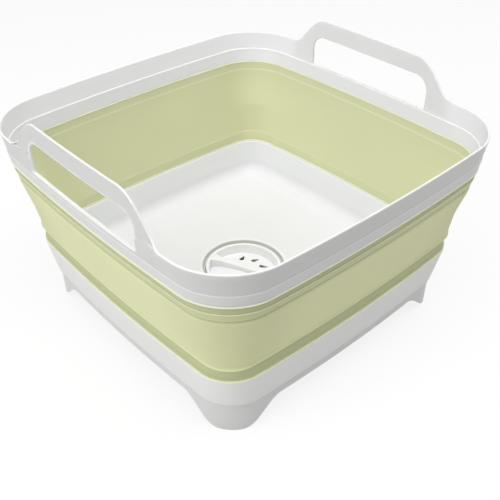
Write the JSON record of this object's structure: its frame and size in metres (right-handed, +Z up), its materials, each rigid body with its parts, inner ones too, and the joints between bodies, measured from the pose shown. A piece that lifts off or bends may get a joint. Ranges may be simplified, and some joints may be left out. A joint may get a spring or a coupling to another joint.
{
  "type": "collapsible washbasin",
  "caption": "Square collapsible washbasin with a folding soft wall between a handled rim and a footed base, and a lift-out strainer plug in its floor.",
  "frame": {"origin": "centre of the footprint on the ground, under the drain", "axes": "+Z up; X runs through the two handles; Y runs along the two plain sides"},
  "size_m": [0.3104, 0.314, 0.2055],
  "materials": {
    "white_plastic": "satin moulded polypropylene",
    "soft_green": "soft satin elastomer",
    "grey_rubber": "matte silicone rubber"
  },
  "bodies": {
    "base": {"base_tray": "white_plastic", "wall_lower_band": "soft_green", "wall_panel": "soft_green"},
    "rim": {"rim_frame": "white_plastic", "wall_upper_band": "soft_green"},
    "strainer": {"strainer_basket": "white_plastic", "drain_plug": "grey_rubber"}
  },
  "joints": [
    {"name": "rim_collapse", "type": "slide", "parent": "base", "child": "rim", "axis": [0, 0, -1], "range_m": [0, 0.112], "deforming": ["wall_panel"]},
    {"name": "strainer_lift", "type": "slide", "parent": "base", "child": "strainer", "axis": [0, 0, 1], "range_m": [0, 0.06]}
  ]
}
